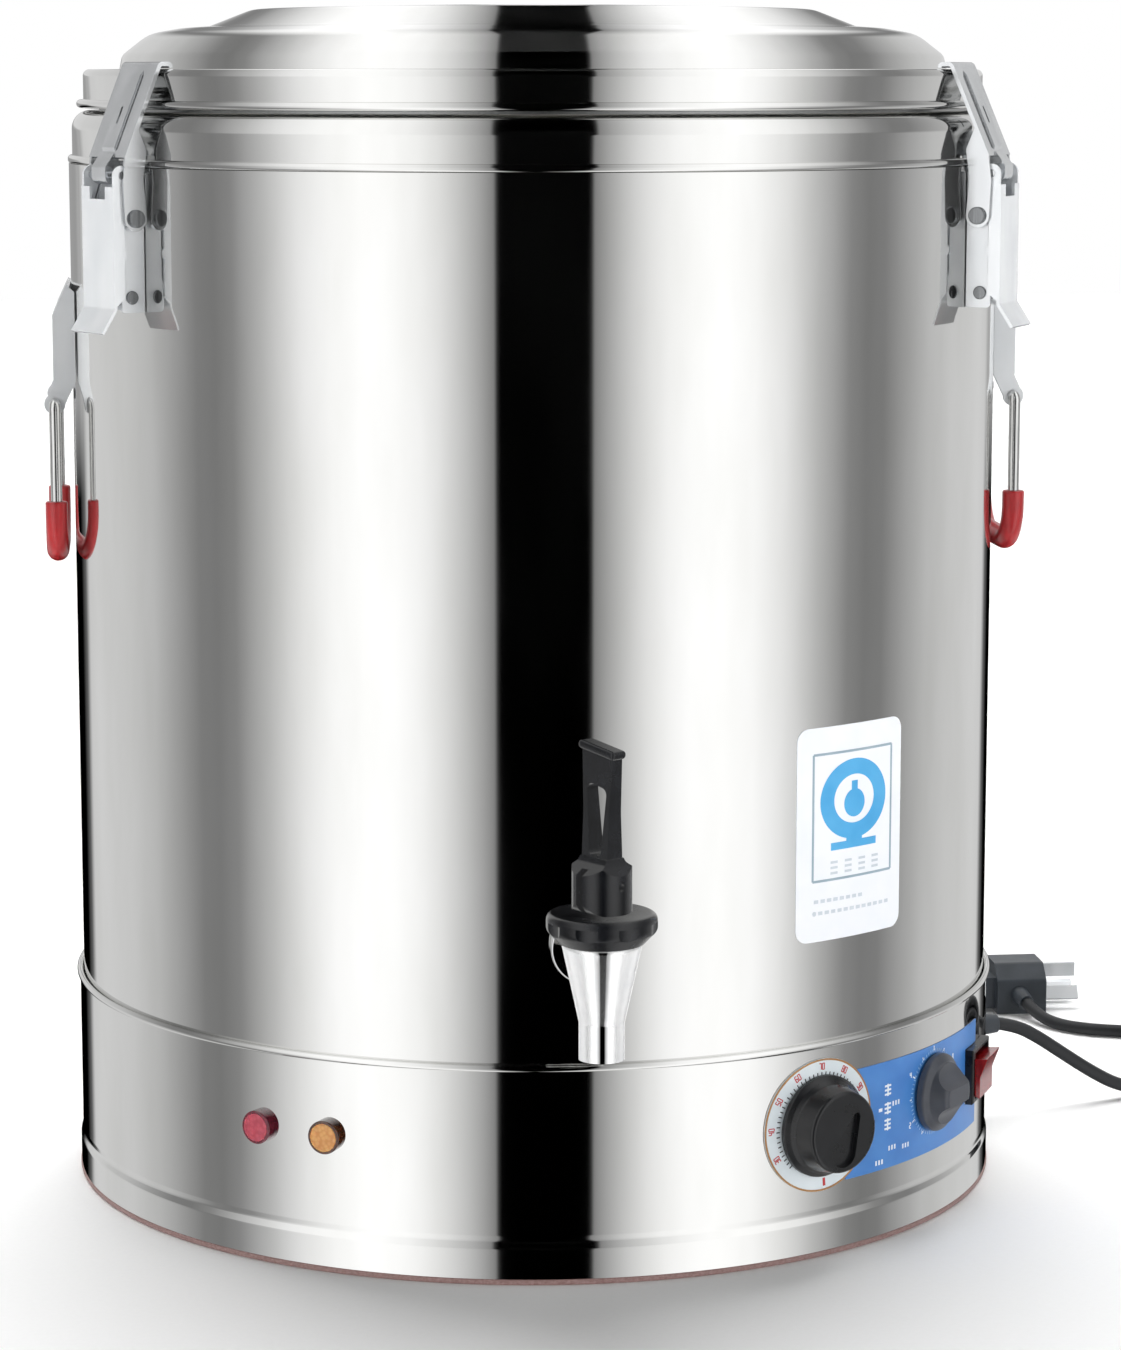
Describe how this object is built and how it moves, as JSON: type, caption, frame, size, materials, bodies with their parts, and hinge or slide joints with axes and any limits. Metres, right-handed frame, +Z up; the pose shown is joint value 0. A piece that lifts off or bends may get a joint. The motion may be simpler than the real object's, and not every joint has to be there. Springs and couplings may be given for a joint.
{
  "type": "hot water urn",
  "caption": "Double-walled stainless hot water urn with a latched domed lid, bail handles, a lever tap, and a skirt holding a thermostat, a timer, a rocker switch and pilot lamps",
  "frame": {"origin": "on the barrel's axis, in the plane of the foot ring's underside", "axes": "+Z up along the barrel's axis, -Y towards the tap, +X to the right seen from the tap's side"},
  "size_m": [0.5424, 0.4822, 0.4564],
  "materials": {
    "polished_steel": "mirror polished stainless sheet",
    "tank_steel": "satin stainless sheet",
    "plain_steel": "plain stainless",
    "copper": "drawn copper",
    "foam": "rigid insulating foam",
    "foot_rubber": "rubber edging",
    "seal_rubber": "silicone",
    "chrome_plate": "bright chromium over brass",
    "white_film": "printed polyester film",
    "black_plastic": "moulded, satin",
    "housing_plastic": "moulded",
    "blue_print": "printed film",
    "dial_white": "printed plate",
    "red_switch": "translucent red",
    "red_lens": "clear red lens",
    "amber_lens": "clear amber lens",
    "red_pvc": "dipped PVC sleeve",
    "cord_jacket": "PVC jacket",
    "plug_plastic": "moulded"
  },
  "bodies": {
    "urn": {"outer_shell": "polished_steel", "rim_collar": "polished_steel", "inner_tank": "tank_steel", "foam_jacket": "foam", "partition_plate": "plain_steel", "base_skirt": "polished_steel", "base_plate": "plain_steel", "base_screws": "plain_steel", "foot_ring": "foot_rubber", "latch_brackets": "polished_steel", "latch_rivets": "plain_steel", "handle_brackets": "polished_steel", "tap_body": "chrome_plate", "tap_bonnet_nut": "black_plastic", "tap_face_nut": "chrome_plate", "tap_washers": "seal_rubber", "tap_lock_nut": "plain_steel", "heating_element": "plain_steel", "element_nuts": "plain_steel", "thermostat_bulb": "copper", "thermostat_housing": "housing_plastic", "timer_housing": "housing_plastic", "control_panel": "blue_print", "dial_plate": "dial_white", "rocker_bezel": "black_plastic", "label_plate": "white_film", "terminal_block": "housing_plastic", "strain_relief": "black_plastic", "cord_lead": "cord_jacket", "cord_tail": "cord_jacket", "cord_coil": "cord_jacket", "plug": "plug_plastic", "red_lamp": "red_lens", "amber_lamp": "amber_lens"},
    "lid": {"lid_cover": "polished_steel", "lid_liner": "tank_steel", "lid_foam": "foam", "lid_gasket": "seal_rubber"},
    "latch_left_arm": {"latch_left_arm": "polished_steel"},
    "latch_left_lever": {"latch_left_lever": "polished_steel"},
    "latch_left_link": {"latch_left_link": "polished_steel"},
    "latch_right_arm": {"latch_right_arm": "polished_steel"},
    "latch_right_lever": {"latch_right_lever": "polished_steel"},
    "latch_right_link": {"latch_right_link": "polished_steel"},
    "latch_rear_arm": {"latch_rear_arm": "polished_steel"},
    "latch_rear_lever": {"latch_rear_lever": "polished_steel"},
    "latch_rear_link": {"latch_rear_link": "polished_steel"},
    "handle_left": {"handle_left_bail": "plain_steel", "handle_left_grip": "red_pvc"},
    "handle_right": {"handle_right_bail": "plain_steel", "handle_right_grip": "red_pvc"},
    "tap_stem": {"tap_stem": "plain_steel", "tap_stem_pin": "plain_steel", "tap_seat_washer": "seal_rubber"},
    "tap_lever": {"tap_lever": "black_plastic"},
    "thermostat_control": {"thermostat_knob": "black_plastic", "thermostat_spindle": "plain_steel"},
    "timer_control": {"timer_knob": "black_plastic", "timer_spindle": "plain_steel"},
    "rocker": {"rocker": "red_switch"}
  },
  "joints": [
    {"name": "lid_lift", "type": "slide", "parent": "urn", "child": "lid", "axis": [0, 0, 1], "range_m": [0, 0.034]},
    {"name": "latch_left_arm_swing", "type": "hinge", "parent": "urn", "child": "latch_left_arm", "pos_m": [-0.16102, -0.0911, 0.379], "axis": [0.4924, -0.8704, 0], "range_deg": [0, 112.5]},
    {"name": "latch_left_lever_swing", "type": "hinge", "parent": "latch_left_arm", "child": "latch_left_lever", "pos_m": [-0.16493, -0.09331, 0.3945], "axis": [-0.4924, 0.8704, 0], "range_deg": [0, 112.5]},
    {"name": "latch_left_link_swing", "type": "hinge", "parent": "urn", "child": "latch_left_link", "pos_m": [-0.16145, -0.09134, 0.3505], "axis": [0.4924, -0.8704, 0], "range_deg": [0, 112.5]},
    {"name": "latch_right_arm_swing", "type": "hinge", "parent": "urn", "child": "latch_right_arm", "pos_m": [0.16102, -0.0911, 0.379], "axis": [0.4924, 0.8704, 0], "range_deg": [0, 112.5]},
    {"name": "latch_right_lever_swing", "type": "hinge", "parent": "latch_right_arm", "child": "latch_right_lever", "pos_m": [0.16493, -0.09331, 0.3945], "axis": [-0.4924, -0.8704, 0], "range_deg": [0, 112.5]},
    {"name": "latch_right_link_swing", "type": "hinge", "parent": "urn", "child": "latch_right_link", "pos_m": [0.16145, -0.09134, 0.3505], "axis": [0.4924, 0.8704, 0], "range_deg": [0, 112.5]},
    {"name": "latch_rear_arm_swing", "type": "hinge", "parent": "urn", "child": "latch_rear_arm", "pos_m": [0, 0.185, 0.379], "axis": [-1, 0, 0], "range_deg": [0, 112.5]},
    {"name": "latch_rear_lever_swing", "type": "hinge", "parent": "latch_rear_arm", "child": "latch_rear_lever", "pos_m": [0, 0.1895, 0.3945], "axis": [1, 0, 0], "range_deg": [0, 112.5]},
    {"name": "latch_rear_link_swing", "type": "hinge", "parent": "urn", "child": "latch_rear_link", "pos_m": [0, 0.1855, 0.3505], "axis": [-1, 0, 0], "range_deg": [0, 112.5]},
    {"name": "handle_left_swing", "type": "hinge", "parent": "urn", "child": "handle_left", "pos_m": [-0.1866, 0, 0.306], "axis": [0, 1, 0], "range_deg": [0, 100]},
    {"name": "handle_right_swing", "type": "hinge", "parent": "urn", "child": "handle_right", "pos_m": [0.1866, 0, 0.306], "axis": [0, -1, 0], "range_deg": [0, 100]},
    {"name": "tap_stem_lift", "type": "slide", "parent": "urn", "child": "tap_stem", "axis": [0, 0, 1], "range_m": [0, 0.00565]},
    {"name": "tap_lever_tilt", "type": "hinge", "parent": "tap_stem", "child": "tap_lever", "pos_m": [0, -0.23, 0.1575], "axis": [0.5592, -0.829, 0], "range_deg": [0, 85]},
    {"name": "thermostat_turn", "type": "hinge", "parent": "urn", "child": "thermostat_control", "pos_m": [0.09356, -0.16537, 0.05], "axis": [0.4924, -0.8704, 0], "range_deg": [-270, 0]},
    {"name": "timer_turn", "type": "hinge", "parent": "urn", "child": "timer_control", "pos_m": [0.14661, -0.12085, 0.05], "axis": [0.7716, -0.6361, 0], "range_deg": [-270, 0]},
    {"name": "rocker_tilt", "type": "hinge", "parent": "urn", "child": "rocker", "pos_m": [0.16544, -0.07891, 0.048], "axis": [-0.4305, -0.9026, 0], "range_deg": [0, 20]}
  ],
  "couplings": [
    {"joint": "latch_left_arm_swing", "follows": "lid_lift", "rad_per_m": 57.5},
    {"joint": "latch_left_lever_swing", "follows": "lid_lift", "rad_per_m": 57.5},
    {"joint": "latch_left_link_swing", "follows": "lid_lift", "rad_per_m": 57.5},
    {"joint": "latch_right_arm_swing", "follows": "lid_lift", "rad_per_m": 57.5},
    {"joint": "latch_right_lever_swing", "follows": "lid_lift", "rad_per_m": 57.5},
    {"joint": "latch_right_link_swing", "follows": "lid_lift", "rad_per_m": 57.5},
    {"joint": "latch_rear_arm_swing", "follows": "lid_lift", "rad_per_m": 57.5},
    {"joint": "latch_rear_lever_swing", "follows": "lid_lift", "rad_per_m": 57.5},
    {"joint": "latch_rear_link_swing", "follows": "lid_lift", "rad_per_m": 57.5},
    {"joint": "tap_stem_lift", "follows": "tap_lever_tilt", "m_per_rad": 0.0038}
  ]
}
